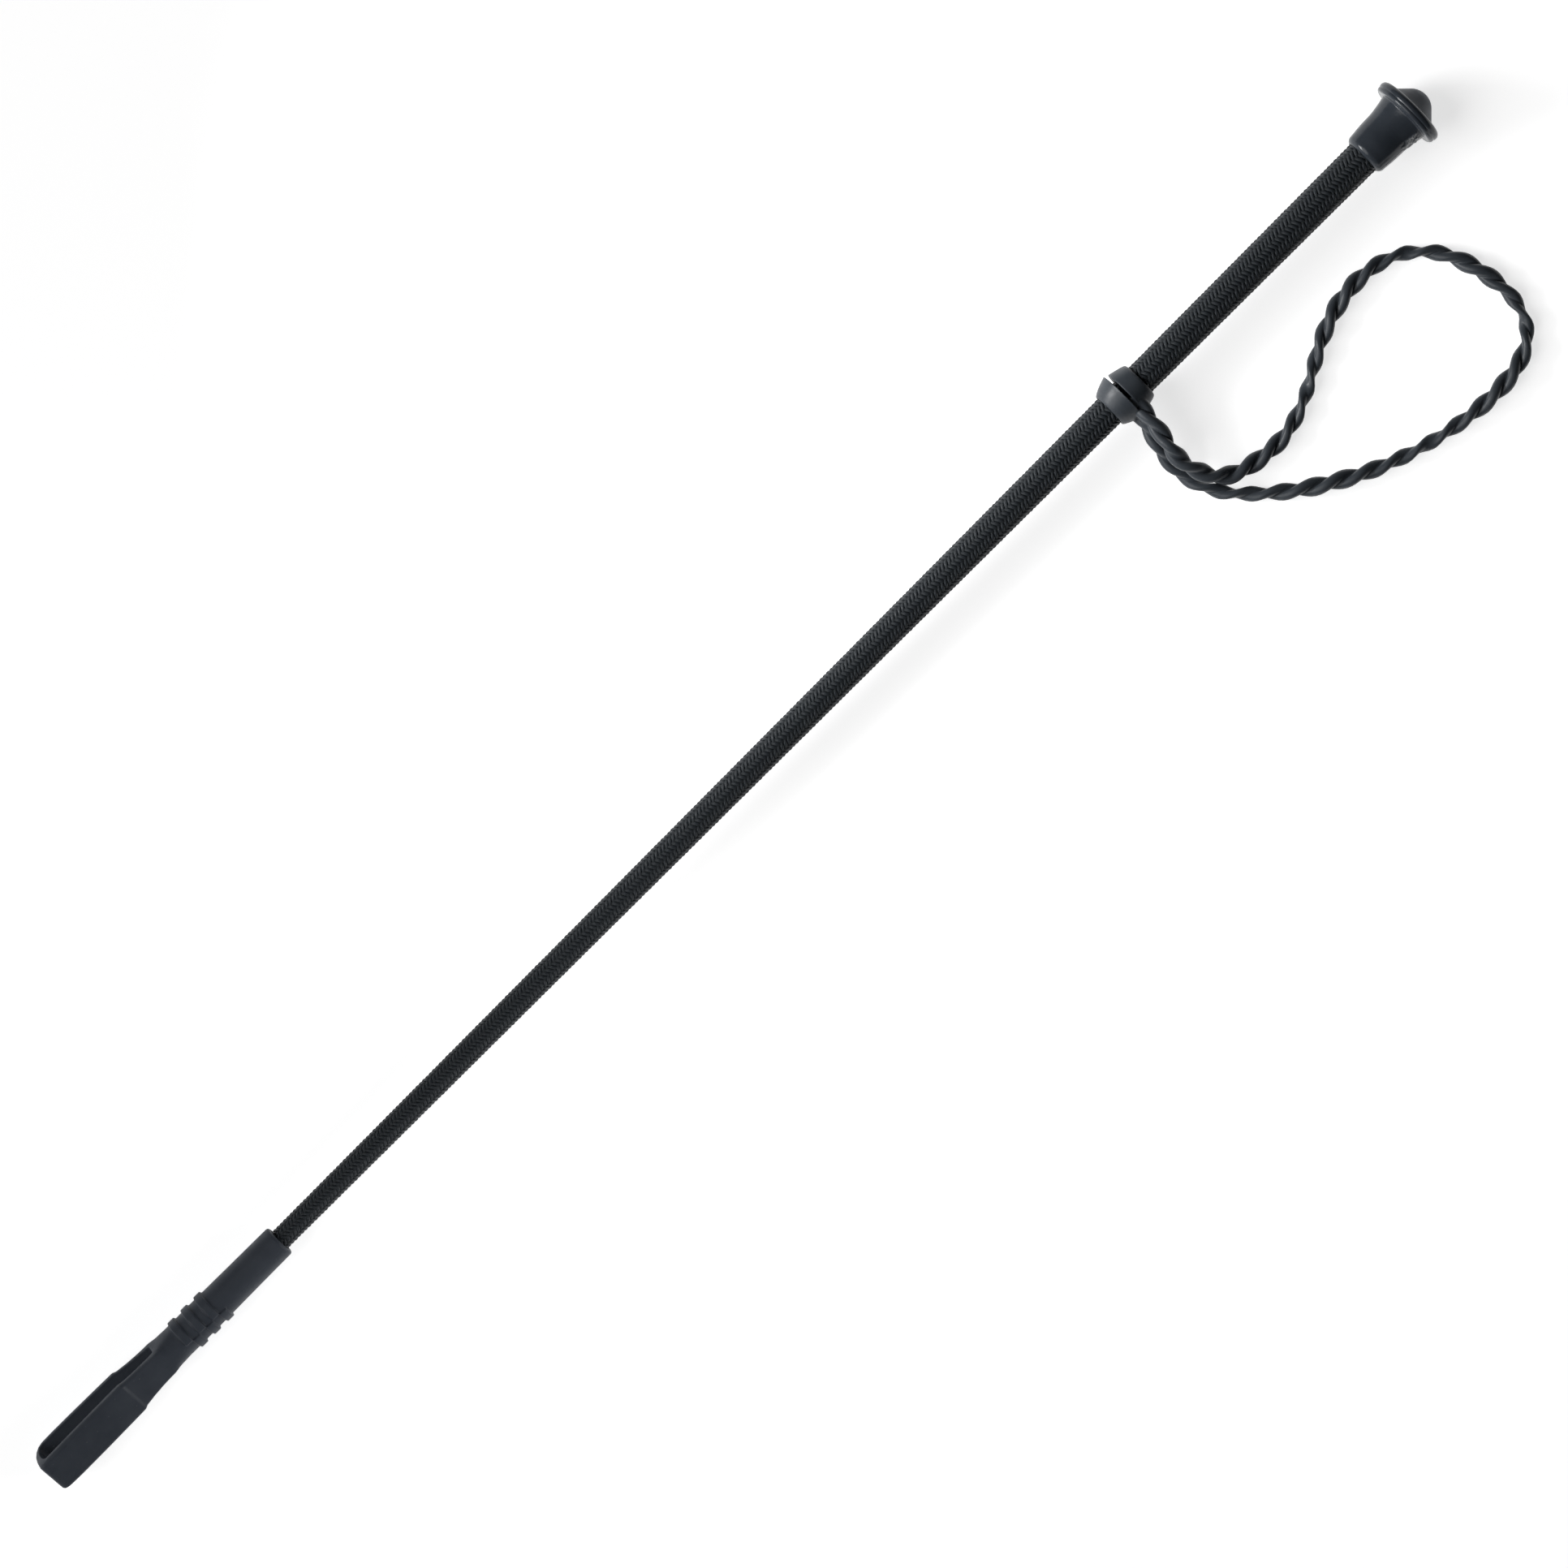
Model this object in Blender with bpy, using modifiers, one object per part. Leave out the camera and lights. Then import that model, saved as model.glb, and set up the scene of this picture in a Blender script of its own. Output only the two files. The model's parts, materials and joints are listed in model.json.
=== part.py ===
"""A riding crop with a moulded rubber keeper, a mushroom cap and a wrist loop.

The crop is designed upright, in the frame of one parent empty, and the empty lays it down:
  local +Z  along the shaft, towards the cap
  local +X  towards the wrist loop
  local -Y  up, away from the surface that the crop lies on
A station is a distance from the cap's top, measured along the shaft.
World: metres, +Z up, +Y along the crop towards the cap, origin on the surface below its middle.
"""

import math

import bmesh
import bpy
from mathutils import Matrix, Vector, geometry

MM = 0.001

# Driving dimensions
TOTAL_LENGTH = 650 * MM
CAP_RIM_RADIUS = 13.0 * MM
BRAID_RADIUS_AT_CAP = 6.17 * MM
BRAID_RADIUS_AT_TIP = 3.90 * MM
TAPER_FROM = 30 * MM
TAPER_TO = 540 * MM
GAP = 0.3 * MM
BRAID_WALL = 0.7 * MM
WHIPPING_WALL = 0.5 * MM
WHIPPING_TURNS = 4
CORE_RADIUS_AT_CAP = 3.2 * MM
CORE_RADIUS_AT_TIP = 2.0 * MM

# How the crop lies
AXIS_HEIGHT_AT_CAP = 13.0 * MM
AXIS_HEIGHT_AT_FLAP = 8.93 * MM
CAP_REST_STATION = 8.4 * MM
FLAP_REST_STATION = 642 * MM
KEEPER_ROLL = math.radians(29)

# Stations of the pieces
CORE_SPAN = (6.5 * MM, 584 * MM)
PADDING_SPAN = (11 * MM, 580 * MM)
BRAID_SPAN = (10 * MM, 581 * MM)
BUTT_WHIPPING_SPAN = (11 * MM, 17 * MM)
TIP_WHIPPING_SPAN = (564 * MM, 576 * MM)
SKIRT_END = 29.8 * MM
UPPER_RING_SPAN = (134.5 * MM, 141.0 * MM)
LOWER_RING_SPAN = (142.5 * MM, 149.0 * MM)
FERRULE_SPAN = (540.2 * MM, 588.0 * MM)

# The keeper
FERRULE_RADIUS_AT_MOUTH = 5.85 * MM
FERRULE_RADIUS_AT_RIBS = 6.15 * MM
RIB_HEIGHT = 0.6 * MM
RIB_LENGTH = 2.5 * MM
RIB_PITCH = 6.1 * MM
RIB_COUNT = 3
SLOT_SIDE_RIB_STATION = 585.15 * MM
OTHER_SIDE_RIB_STATION = 582.4 * MM
FLEX_RADIUS = 4.75 * MM
FLEX_STATION = FERRULE_SPAN[1] + GAP + FLEX_RADIUS
FLAP_WIDTH = 13.5 * MM
NECK_WIDTH = 10.8 * MM
SLOT_END_STATION = 596.5 * MM
FRONT_FOLD_RADIUS = 2.4 * MM
BACK_FOLD_RADIUS = 5.0 * MM

# The wrist loop
STRAP_DIAMETER = 5.2 * MM
ROOT_RADIUS = 4.75 * MM
ROOT_THICKNESS = 10.0 * MM
ROOT_STATION = 142.6 * MM
ROOT_X = 9.1 * MM + GAP + ROOT_RADIUS

TURN_STEPS = 32
CAP_STEPS = 48
MERGE_DISTANCE = 0.01 * MM

# The wrist loop's centreline: x, station and height above the surface, in millimetres.
STRAP_ROUTE_MM = [
    (19.4, 142.6, 14.2),
    (24.0, 143.7, 13.9),
    (30.0, 143.5, 11.6),
    (36.0, 141.6, 8.8),
    (41.0, 138.4, 6.3),
    (44.6, 133.2, 4.2),
    (46.8, 125.0, 2.8),
    (47.5, 116.0, 2.7),
    (46.3, 108.0, 2.7),
    (43.1, 99.2, 2.7),
    (38.7, 91.0, 2.7),
    (34.1, 82.8, 2.7),
    (30.6, 74.6, 2.7),
    (28.4, 65.9, 2.7),
    (27.9, 56.6, 2.7),
    (29.6, 47.4, 2.7),
    (33.6, 39.8, 2.7),
    (40.4, 33.2, 2.7),
    (48.7, 29.2, 2.7),
    (57.8, 26.8, 2.7),
    (67.0, 26.0, 2.7),
    (75.5, 27.8, 2.7),
    (82.0, 32.8, 2.7),
    (85.8, 41.0, 2.7),
    (87.1, 50.4, 2.7),
    (86.9, 59.8, 2.7),
    (85.7, 69.0, 2.7),
    (83.8, 78.2, 2.7),
    (81.3, 87.0, 2.7),
    (78.2, 95.5, 2.7),
    (74.5, 103.8, 2.7),
    (70.2, 111.6, 2.7),
    (65.4, 119.4, 2.7),
    (59.9, 126.9, 2.7),
    (53.8, 133.8, 2.7),
    (47.0, 140.0, 2.7),
    (39.6, 144.2, 2.7),
    (31.5, 146.4, 3.0),
    (25.0, 146.2, 5.2),
    (19.6, 145.2, 8.2),
]


def local_z(station):
    return TOTAL_LENGTH / 2 - station


def braid_radius(station):
    slope = (BRAID_RADIUS_AT_TIP - BRAID_RADIUS_AT_CAP) / (TAPER_TO - TAPER_FROM)
    return BRAID_RADIUS_AT_CAP + slope * (station - TAPER_FROM)


def core_radius(station):
    start, end = CORE_SPAN
    slope = (CORE_RADIUS_AT_TIP - CORE_RADIUS_AT_CAP) / (end - start)
    return CORE_RADIUS_AT_CAP + slope * (station - start)


def new_collection(name):
    collection = bpy.data.collections.new(name)
    bpy.context.scene.collection.children.link(collection)
    return collection


def new_material(name, color, roughness, metallic=0.0):
    material = bpy.data.materials.new(name)
    material.use_nodes = True
    shader = material.node_tree.nodes["Principled BSDF"]
    shader.inputs["Base Color"].default_value = (*color, 1.0)
    shader.inputs["Roughness"].default_value = roughness
    shader.inputs["Metallic"].default_value = metallic
    return material


def add_object(name, mesh, material, collection, parent):
    piece = bpy.data.objects.new(name, mesh)
    if material is not None:
        mesh.materials.append(material)
    collection.objects.link(piece)
    piece.parent = parent
    return piece


def arc(center_radius, center_station, radius, start_deg, end_deg, count):
    """Points (radius, station) on an arc; 0 degrees points away from the axis, 90 to the flap."""
    points = []
    for i in range(count + 1):
        angle = math.radians(start_deg + (end_deg - start_deg) * i / count)
        points.append(
            (
                center_radius + radius * math.cos(angle),
                center_station + radius * math.sin(angle),
            )
        )
    return points


def turned(name, profile, closed, material, collection, parent, steps=TURN_STEPS):
    """Turns a profile of (radius, station) points, listed from the cap end down the outside."""
    mesh = bpy.data.meshes.new(name)
    vertices = [(radius, 0.0, local_z(station)) for radius, station in profile]
    edges = [(i, i + 1) for i in range(len(vertices) - 1)]
    if closed:
        edges.append((len(vertices) - 1, 0))
    mesh.from_pydata(vertices, edges, [])
    piece = add_object(name, mesh, material, collection, parent)
    screw = piece.modifiers.new("Turn", "SCREW")
    screw.axis = "Z"
    screw.angle = math.tau
    screw.steps = steps
    screw.render_steps = steps
    screw.use_merge_vertices = True
    screw.merge_threshold = MERGE_DISTANCE
    screw.use_smooth_shade = True
    return piece


def tube_profile(span, outer, inner, count=1):
    """A tapered tube's closed profile; outer and inner are functions of the station."""
    start, end = span
    stations = [start + (end - start) * i / count for i in range(count + 1)]
    outside = [(outer(s), s) for s in stations]
    inside = [(inner(s), s) for s in reversed(stations)]
    return outside + inside


def frozen(piece):
    """Applies a piece's modifiers, and returns the piece."""
    bpy.context.view_layer.update()
    depsgraph = bpy.context.evaluated_depsgraph_get()
    mesh = bpy.data.meshes.new_from_object(piece.evaluated_get(depsgraph))
    piece.modifiers.clear()
    piece.data = mesh
    return piece


def combine(piece, other, operation):
    boolean = piece.modifiers.new(operation.title(), "BOOLEAN")
    boolean.operation = operation
    boolean.object = other
    boolean.solver = "EXACT"
    return boolean


def as_cutter(piece):
    piece.hide_render = True
    piece.display_type = "WIRE"
    return piece


def extruded(name, outlines, thickness, matrix, material, collection, parent):
    """A flat outline, with any holes, extruded evenly to both sides and made a mesh."""
    curve = bpy.data.curves.new(name, "CURVE")
    curve.dimensions = "2D"
    curve.fill_mode = "BOTH"
    curve.extrude = thickness / 2
    for outline in outlines:
        spline = curve.splines.new("POLY")
        spline.points.add(len(outline) - 1)
        for point, (x, y) in zip(spline.points, outline):
            point.co = (x, y, 0.0, 1.0)
        spline.use_cyclic_u = True
    guide = bpy.data.objects.new(name + "_outline", curve)
    collection.objects.link(guide)
    bpy.context.view_layer.update()
    depsgraph = bpy.context.evaluated_depsgraph_get()
    mesh = bpy.data.meshes.new_from_object(guide.evaluated_get(depsgraph))
    mesh.name = name
    bpy.data.objects.remove(guide)
    mesh.transform(matrix)
    work = bmesh.new()
    work.from_mesh(mesh)
    bmesh.ops.remove_doubles(work, verts=work.verts, dist=MERGE_DISTANCE / 2)
    bmesh.ops.recalc_face_normals(work, faces=work.faces)
    work.to_mesh(mesh)
    work.free()
    mesh.materials.clear()
    return add_object(name, mesh, material, collection, parent)


def make_core(material, parts, frame):
    start, end = CORE_SPAN
    chamfer = 0.6 * MM
    profile = [
        (0.0, start),
        (core_radius(start) - chamfer, start),
        (core_radius(start), start + chamfer),
        (core_radius(end), end - chamfer),
        (core_radius(end) - chamfer, end),
        (0.0, end),
    ]
    return turned("core_rod", profile, False, material, parts, frame)


def make_padding(material, parts, frame):
    profile = tube_profile(
        PADDING_SPAN,
        lambda s: braid_radius(s) - BRAID_WALL - GAP,
        lambda s: core_radius(s) + GAP,
    )
    return turned("taper_padding", profile, True, material, parts, frame)


def make_braid(material, parts, frame):
    profile = tube_profile(BRAID_SPAN, braid_radius, lambda s: braid_radius(s) - BRAID_WALL)
    return turned("braided_cover", profile, True, material, parts, frame)


def make_whipping(name, span, material, parts, frame):
    """The binding that holds an end of the braid: a band of thread turns."""
    start, end = span
    pitch = (end - start) / WHIPPING_TURNS

    def inner(station):
        return braid_radius(station) + GAP

    valley = 0.7 * WHIPPING_WALL
    outside = []
    for i in range(WHIPPING_TURNS):
        left = start + i * pitch
        outside.append((inner(left) + valley, left))
        outside.append((inner(left) + WHIPPING_WALL, left + pitch / 2))
    outside.append((inner(end) + valley, end))
    profile = outside + [(inner(end), end), (inner(start), start)]
    return turned(name, profile, True, material, parts, frame)


def make_cap(material, parts, frame):
    """Mushroom cap: rounded 45 degree nose, a rim of two beads, a waisted skirt with a lip."""
    nose = 6.8 * MM
    dome = arc(0.0, nose, nose, -90, -45, 5)
    shoulder = [(9.35 * MM, 6.45 * MM), (11.7 * MM, 6.6 * MM)]
    bead = 1.25 * MM
    first_bead = arc(CAP_RIM_RADIUS - bead, 7.7 * MM, bead, -80, 58, 4)
    second_bead = arc(CAP_RIM_RADIUS - 0.25 * MM - bead, 9.5 * MM, bead, -50, 80, 4)
    skirt = [
        (9.9 * MM, 10.75 * MM),
        (9.2 * MM, 12.2 * MM),
        (8.75 * MM, 14.6 * MM),
        (8.42 * MM, 17.0 * MM),
        (8.3 * MM, 20.0 * MM),
        (8.15 * MM, 23.5 * MM),
        (7.85 * MM, 26.4 * MM),
    ]
    lip = 1.0 * MM
    lip_arc = arc(7.55 * MM - lip, SKIRT_END - lip, lip, 0, 80, 3)
    mouth = braid_radius(SKIRT_END) + GAP
    recess = braid_radius(BUTT_WHIPPING_SPAN[0]) + GAP + WHIPPING_WALL + GAP
    floor = CORE_SPAN[0] - GAP
    step = BRAID_SPAN[0] - GAP
    core_seat = core_radius(CORE_SPAN[0]) + GAP
    bore = [
        (mouth, SKIRT_END),
        (mouth, BUTT_WHIPPING_SPAN[1] + GAP),
        (recess, BUTT_WHIPPING_SPAN[1] + GAP),
        (recess, step),
        (core_seat, step),
        (core_seat, floor),
        (0.0, floor),
    ]
    profile = dome + shoulder + first_bead + second_bead + skirt + lip_arc + bore
    return turned("mushroom_cap", profile, False, material, parts, frame, CAP_STEPS)


def make_ring(name, outline, material, parts, frame):
    """One flared ring of the collar; outline is its outer side, from the cap end down."""
    inner_start = (braid_radius(outline[0][1]) + GAP, outline[0][1])
    inner_end = (braid_radius(outline[0][1]) + GAP, outline[-1][1])
    profile = outline + [inner_end, inner_start]
    return turned(name, profile, True, material, parts, frame)


def make_rings(material, parts, frame):
    start, end = UPPER_RING_SPAN
    edge = 1.2 * MM
    upper = arc(6.7 * MM, start + edge, edge, -85, -15, 3)
    upper += [(8.55 * MM, end - 0.5 * MM), (8.6 * MM, end - 0.15 * MM), (8.3 * MM, end)]
    make_ring("upper_ring", upper, material, parts, frame)
    start, end = LOWER_RING_SPAN
    lower = [(8.85 * MM, start), (9.1 * MM, start + 0.3 * MM), (8.75 * MM, start + 1.0 * MM)]
    lower += [(8.1 * MM, start + 2.9 * MM), (7.2 * MM, start + 4.9 * MM)]
    lower += [(6.5 * MM, end - 0.4 * MM), (6.2 * MM, end)]
    make_ring("lower_ring", lower, material, parts, frame)


def keeper_matrix():
    """Keeper frame to crop frame: x across the flap, y through its front face, z to the flap."""
    front = Vector((math.sin(KEEPER_ROLL), -math.cos(KEEPER_ROLL), 0.0))
    to_flap = Vector((0.0, 0.0, -1.0))
    across = front.cross(to_flap)
    rotation = Matrix((across, front, to_flap)).transposed()
    return rotation.to_4x4()


def make_half_rib(name, middle, side, cutters, frame):
    """A rib round one half of the ferrule, on one side of the parting plane."""
    corner = 0.25 * MM
    root_depth = 0.85 * MM
    box_size = 20 * MM
    low = middle - RIB_LENGTH / 2
    high = middle + RIB_LENGTH / 2
    outer = FERRULE_RADIUS_AT_RIBS + RIB_HEIGHT
    inner = FERRULE_RADIUS_AT_RIBS - root_depth
    section = [(outer - corner, low), (outer, low + corner)]
    section += [(outer, high - corner), (outer - corner, high)]
    section += [(inner, high), (inner, low)]
    rib = turned(name, section, True, None, cutters, frame)
    bpy.ops.mesh.primitive_cube_add(size=box_size)
    box = bpy.context.active_object
    box.name = name + "_half"
    for owner in list(box.users_collection):
        owner.objects.unlink(box)
    cutters.objects.link(box)
    box.parent = frame
    to_side = keeper_matrix() @ Matrix.Translation((side * box_size / 2, 0.0, 0.0))
    box.data.transform(Matrix.Translation((0.0, 0.0, local_z(middle))) @ to_side)
    combine(frozen(rib), as_cutter(box), "INTERSECT")
    return as_cutter(rib)


def make_ferrule(material, parts, cutters, frame):
    """Round ferrule with two sets of half ribs, staggered across the mould's parting plane."""
    start, end = FERRULE_SPAN
    mouth = braid_radius(start) + GAP
    lip = 0.9 * MM
    pocket = braid_radius(TIP_WHIPPING_SPAN[0]) + GAP + WHIPPING_WALL + GAP
    braid_end = BRAID_SPAN[1] + GAP
    core_end = CORE_SPAN[1] + GAP
    core_seat = core_radius(BRAID_SPAN[1]) + GAP
    outside = arc(FERRULE_RADIUS_AT_MOUTH - lip, start + lip, lip, -80, 0, 3)
    outside += [(FERRULE_RADIUS_AT_RIBS, 575 * MM), (FERRULE_RADIUS_AT_RIBS, end - 1.0 * MM)]
    outside += [(FERRULE_RADIUS_AT_RIBS - 0.7 * MM, end), (0.0, end)]
    inside = [
        (0.0, core_end),
        (core_seat, core_end),
        (core_seat, braid_end),
        (pocket, braid_end),
        (pocket, TIP_WHIPPING_SPAN[0] - GAP),
        (mouth, TIP_WHIPPING_SPAN[0] - GAP),
        (mouth, start),
    ]
    ferrule = turned("keeper_ferrule", outside + inside, True, material, parts, frame)
    for side, first in ((-1, SLOT_SIDE_RIB_STATION), (1, OTHER_SIDE_RIB_STATION)):
        for i in range(RIB_COUNT):
            name = f"rib_{'slot' if side < 0 else 'other'}_side_{i}"
            rib = make_half_rib(name, first - i * RIB_PITCH, side, cutters, frame)
            combine(ferrule, rib, "UNION")
    return ferrule


def flap_side_outline():
    """The folded band from the side: (half thickness, station), with a rounder fold at the back."""
    hinge = [
        (FLEX_RADIUS * math.sin(math.radians(a)), FLEX_STATION - FLEX_RADIUS * math.cos(math.radians(a)))
        for a in range(0, 91, 15)
    ]
    side = [
        (4.85 * MM, 598.0 * MM),
        (5.1 * MM, 603.0 * MM),
        (5.35 * MM, 609.6 * MM),
        (5.6 * MM, 611.6 * MM),
        (6.45 * MM, 640.0 * MM),
        (6.5 * MM, 643.5 * MM),
    ]
    leg = hinge + side
    front = leg + fold_corner(FRONT_FOLD_RADIUS)
    back = leg[1:] + fold_corner(BACK_FOLD_RADIUS)
    return front + [(-t, s) for t, s in reversed(back)]


def fold_corner(radius):
    """The rounding from a wall's outside to the top of the fold."""
    return [
        (
            6.5 * MM - radius + radius * math.cos(math.radians(a)),
            TOTAL_LENGTH - radius + radius * math.sin(math.radians(a)),
        )
        for a in range(15, 91, 15)
    ]


def slot_outline():
    """The slot between the two walls of the band, square at the neck and round at the fold."""
    top = 647.2 * MM
    corner = 2.4 * MM
    wide = 4.1 * MM
    half = [(2.2 * MM, SLOT_END_STATION), (3.3 * MM, 610.0 * MM), (wide, 640.0 * MM)]
    half += [
        (
            wide - corner + corner * math.cos(math.radians(a)),
            top - corner + corner * math.sin(math.radians(a)),
        )
        for a in range(0, 91, 30)
    ]
    return half + [(-t, s) for t, s in reversed(half)]


def flap_front_outline():
    """The flap seen on its front face: (half width, station)."""
    neck = NECK_WIDTH / 2
    wide = FLAP_WIDTH / 2
    start = FLEX_STATION - FLEX_RADIUS - 1.0 * MM
    half = [
        (neck, start),
        (neck, 594.0 * MM),
        (5.5 * MM, 600.0 * MM),
        (5.85 * MM, 606.0 * MM),
        (6.2 * MM, 611.0 * MM),
        (wide - 0.1 * MM, 612.0 * MM),
        (wide, 630.0 * MM),
        (wide - 0.1 * MM, 645.0 * MM),
        (wide - 1.2 * MM, TOTAL_LENGTH - 0.6 * MM),
        (wide - 1.8 * MM, TOTAL_LENGTH + 1.0 * MM),
    ]
    return half + [(-w, s) for w, s in reversed(half)]


def make_flap(material, parts, cutters, frame):
    """The flap: a band folded back on itself, cut to its front outline, with a rolled hinge end."""
    origin = Matrix.Translation((0, 0, TOTAL_LENGTH / 2))
    turn = origin @ keeper_matrix()
    # Outline x runs through the flap and outline y along it, so the extrusion runs across.
    side_view = Matrix(((0, 0, 1, 0), (1, 0, 0, 0), (0, 1, 0, 0), (0, 0, 0, 1)))
    front_view = Matrix(((1, 0, 0, 0), (0, 0, 1, 0), (0, 1, 0, 0), (0, 0, 0, 1)))
    flap = extruded(
        "keeper_flap",
        [flap_side_outline(), slot_outline()],
        2 * FLAP_WIDTH,
        turn @ side_view,
        material,
        parts,
        frame,
    )
    front = extruded(
        "flap_front",
        [flap_front_outline()],
        4 * FLAP_WIDTH,
        turn @ front_view,
        None,
        cutters,
        frame,
    )
    combine(flap, as_cutter(front), "INTERSECT")
    return flap


def make_strap_root(material, parts, frame):
    """The web where both strands leave the collar, rounded about the axis it flexes on."""
    work = bmesh.new()
    bmesh.ops.create_cone(
        work,
        cap_ends=True,
        segments=32,
        radius1=ROOT_RADIUS,
        radius2=ROOT_RADIUS,
        depth=ROOT_THICKNESS,
        matrix=Matrix.Rotation(math.pi / 2, 4, "X"),
    )
    mesh = bpy.data.meshes.new("strap_root")
    work.to_mesh(mesh)
    work.free()
    piece = add_object("strap_root", mesh, material, parts, frame)
    piece.location = (ROOT_X, 0.0, local_z(ROOT_STATION))
    bevel = piece.modifiers.new("Edge", "BEVEL")
    bevel.width = 1.0 * MM
    bevel.segments = 2
    return piece


def smooth_route(points, step):
    """Points about one step apart on a smooth curve through the given ones."""
    route = []
    padded = [2 * points[0] - points[1]] + points + [2 * points[-1] - points[-2]]
    for before, start, end, after in zip(padded, padded[1:], padded[2:], padded[3:]):
        start_handle = start + (end - before) / 6
        end_handle = end - (after - start) / 6
        count = max(1, round((end - start).length / step))
        piece = geometry.interpolate_bezier(start, start_handle, end_handle, end, count + 1)
        route += piece[:-1]
    return route + [points[-1]]


def make_strap(material, parts):
    """The loop's strap, placed in world coordinates because it lies on the surface."""
    points = [
        Vector((x, TOTAL_LENGTH * 500 - station, height)) * MM
        for x, station, height in STRAP_ROUTE_MM
    ]
    route = smooth_route(points, 1.6 * STRAP_DIAMETER)
    curve = bpy.data.curves.new("loop_strap", "CURVE")
    curve.dimensions = "3D"
    curve.bevel_depth = STRAP_DIAMETER / 2
    curve.bevel_resolution = 3
    curve.use_fill_caps = True
    spline = curve.splines.new("POLY")
    spline.points.add(len(route) - 1)
    for point, position in zip(spline.points, route):
        point.co = (*position, 1.0)
    curve.materials.append(material)
    strap = bpy.data.objects.new("loop_strap", curve)
    parts.objects.link(strap)
    weld = strap.modifiers.new("Caps", "WELD")
    weld.merge_threshold = MERGE_DISTANCE
    return strap


def main():
    for piece in list(bpy.data.objects):
        bpy.data.objects.remove(piece, do_unlink=True)
    parts = new_collection("riding_crop")
    cutters = new_collection("riding_crop_cutters")

    rubber = new_material("black_rubber", (0.040, 0.045, 0.052), 0.55)
    gloss_rubber = new_material("polished_rubber", (0.040, 0.045, 0.052), 0.35)
    thread = new_material("black_thread", (0.018, 0.020, 0.023), 0.60)
    glass_fibre = new_material("glass_fibre_rod", (0.55, 0.52, 0.42), 0.40)
    wadding = new_material("black_wadding", (0.012, 0.012, 0.013), 0.90)

    frame = bpy.data.objects.new("crop_frame", None)
    parts.objects.link(frame)
    run = FLAP_REST_STATION - CAP_REST_STATION
    tilt = math.asin((AXIS_HEIGHT_AT_CAP - AXIS_HEIGHT_AT_FLAP) / run)
    middle = TOTAL_LENGTH / 2 - CAP_REST_STATION
    height = AXIS_HEIGHT_AT_CAP - middle * math.sin(tilt)
    frame.location = (0.0, 0.0, height)
    frame.rotation_euler = (tilt - math.pi / 2, 0.0, 0.0)

    make_core(glass_fibre, parts, frame)
    make_padding(wadding, parts, frame)
    make_braid(thread, parts, frame)
    make_whipping("butt_whipping", BUTT_WHIPPING_SPAN, thread, parts, frame)
    make_whipping("tip_whipping", TIP_WHIPPING_SPAN, thread, parts, frame)
    make_cap(gloss_rubber, parts, frame)
    make_rings(gloss_rubber, parts, frame)
    make_ferrule(rubber, parts, cutters, frame)
    make_flap(rubber, parts, cutters, frame)
    make_strap_root(rubber, parts, frame)
    make_strap(rubber, parts)


main()
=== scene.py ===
"""The looks of a riding crop that lies on a pale table.

Every shape is built in the crop's own terms, in millimetres: x towards the wrist loop, up away from
the table, and the station, the distance from the cap's top along the shaft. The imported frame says
where the shaft lies, and placed() turns those terms into metres in its frame.
"""

import json
import math
import random

import bmesh
import bpy
import numpy as np
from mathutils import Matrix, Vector


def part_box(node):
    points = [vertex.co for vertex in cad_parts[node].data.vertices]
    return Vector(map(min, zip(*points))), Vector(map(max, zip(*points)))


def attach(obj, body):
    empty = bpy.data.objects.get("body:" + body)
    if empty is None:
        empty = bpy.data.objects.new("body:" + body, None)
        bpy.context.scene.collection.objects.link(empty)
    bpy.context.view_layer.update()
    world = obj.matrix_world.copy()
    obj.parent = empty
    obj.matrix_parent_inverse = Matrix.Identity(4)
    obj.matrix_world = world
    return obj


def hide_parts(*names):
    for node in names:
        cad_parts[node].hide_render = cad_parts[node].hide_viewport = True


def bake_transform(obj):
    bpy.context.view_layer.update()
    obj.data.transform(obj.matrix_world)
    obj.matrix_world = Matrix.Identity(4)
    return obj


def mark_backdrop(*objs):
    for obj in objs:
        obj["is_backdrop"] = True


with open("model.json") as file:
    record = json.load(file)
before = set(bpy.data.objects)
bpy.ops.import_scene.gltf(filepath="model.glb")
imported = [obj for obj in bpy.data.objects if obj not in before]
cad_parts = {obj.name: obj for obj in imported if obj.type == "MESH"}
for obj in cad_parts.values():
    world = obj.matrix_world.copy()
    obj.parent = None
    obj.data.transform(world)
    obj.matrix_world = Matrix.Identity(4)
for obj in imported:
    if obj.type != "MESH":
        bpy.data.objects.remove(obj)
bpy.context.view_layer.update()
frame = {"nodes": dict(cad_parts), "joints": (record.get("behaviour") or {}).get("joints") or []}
joints = {joint["name"]: joint for joint in frame["joints"]}

MM = 0.001

# The shaft's axis, from the joint that the collar turns on and the cap's top. ALONG points from the
# keeper to the cap.
SWIVEL = np.array(joints["loop_swivel"]["pos_m"])
ALONG = -np.array(joints["loop_swivel"]["axis"])
SIDE = np.array([1.0, 0.0, 0.0])
UP = np.cross(SIDE, ALONG)
CAP_TOP = SWIVEL + ALONG * (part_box("mushroom_cap")[1].y - SWIVEL[1]) / ALONG[1]

# The keeper is rolled about the shaft: which way its slot and its front face.
SLOT_SIDE = np.array(joints["flap_flex"]["axis"])
FRONT = np.cross(ALONG, SLOT_SIDE)

# The shaft: lengths in millimetres, places as stations
BRAID_RADIUS_AT_CAP = 6.17
BRAID_RADIUS_AT_TIP = 3.90
TAPER_FROM = 30.0
TAPER_TO = 540.0
BRAID_SPAN = (28.0, 542.0)
ROW_PITCH = 1.57
YARNS_EACH_WAY = 12
WALE = math.tau / 12
YARN_HALF_THICKNESS = 0.28
YARN_DIP = 0.25
YARN_COVER = 1.04
BORE_GAP = 0.12

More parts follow.
